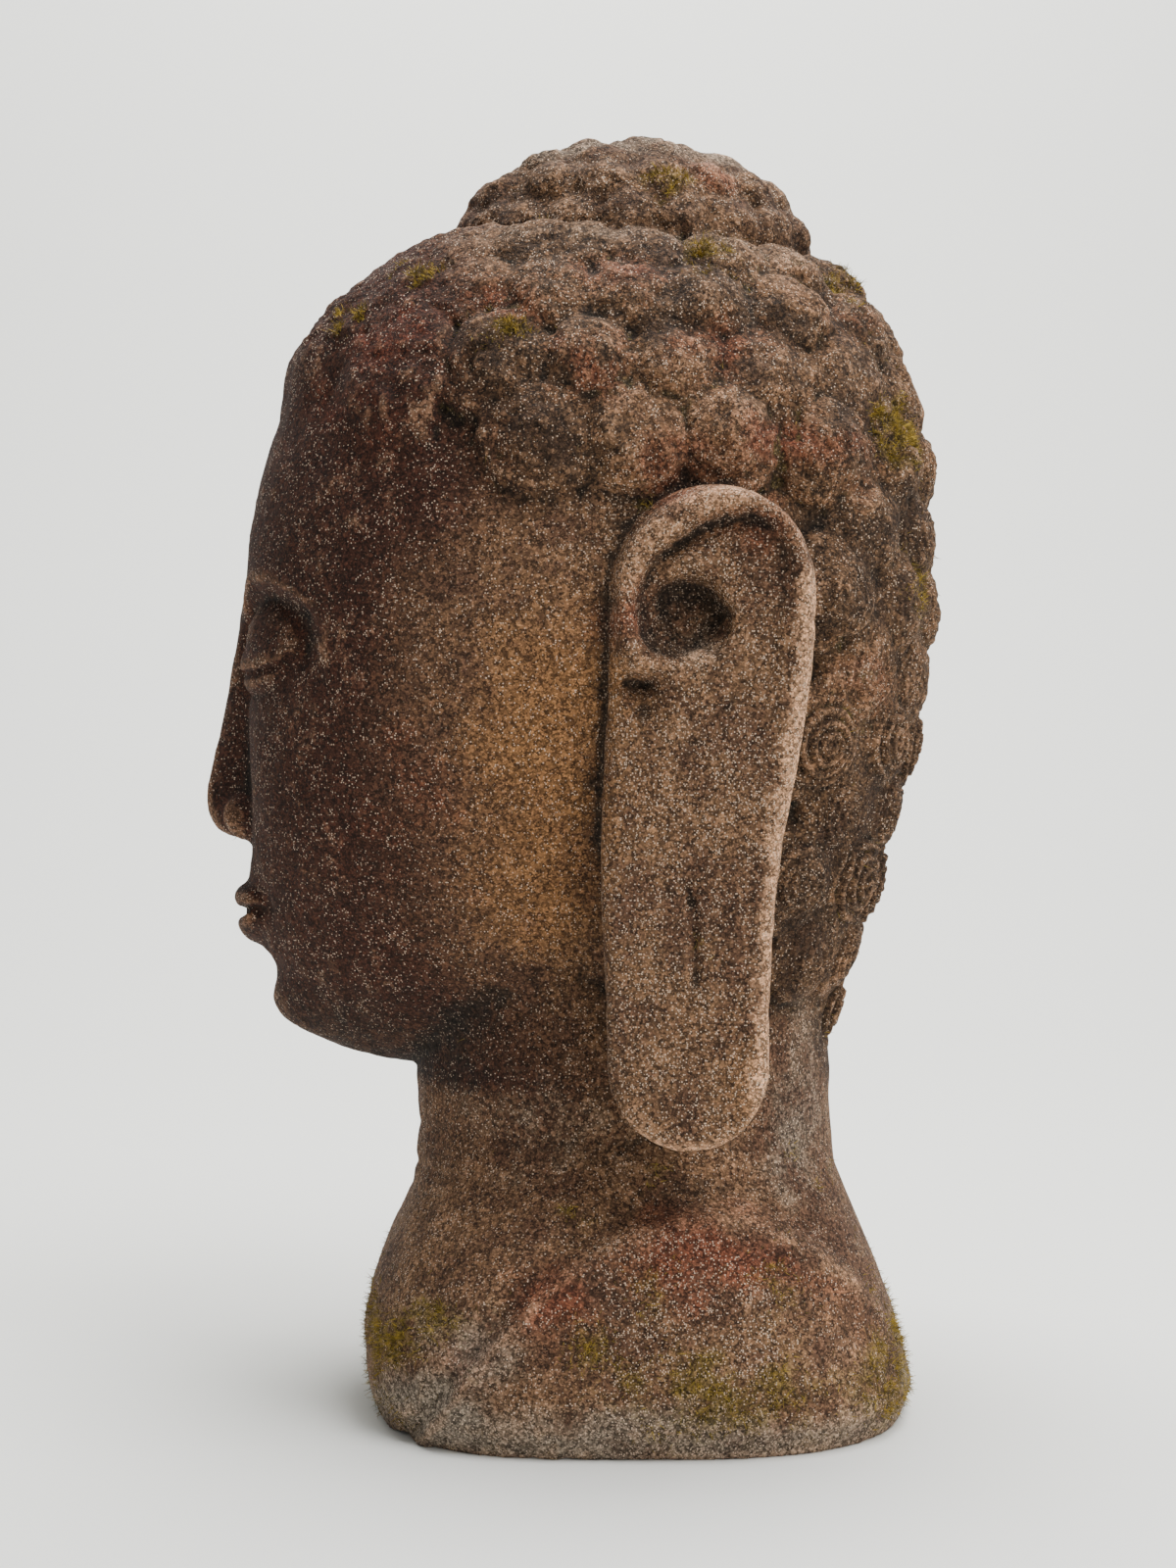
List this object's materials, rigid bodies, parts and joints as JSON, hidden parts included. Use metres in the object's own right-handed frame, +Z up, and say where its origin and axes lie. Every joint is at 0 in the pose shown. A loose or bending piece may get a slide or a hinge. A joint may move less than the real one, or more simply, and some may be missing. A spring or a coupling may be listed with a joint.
{
  "type": "stone buddha head",
  "caption": "Garden head of cast stone with snail-shell curls, a low topknot, long hanging ears, a short neck and a flared foot cut flat below.",
  "frame": {"origin": "centre of the foot's flat underside", "axes": "+Z up from the foot to the topknot, -Y the way the face looks, +X towards the head's own left ear"},
  "size_m": [0.208, 0.2332, 0.3969],
  "materials": {
    "weathered_stone": "rough, sandy and weathered, with moss and dark stains"
  },
  "bodies": {
    "root": {"buddha_head": "weathered_stone"}
  },
  "joints": []
}
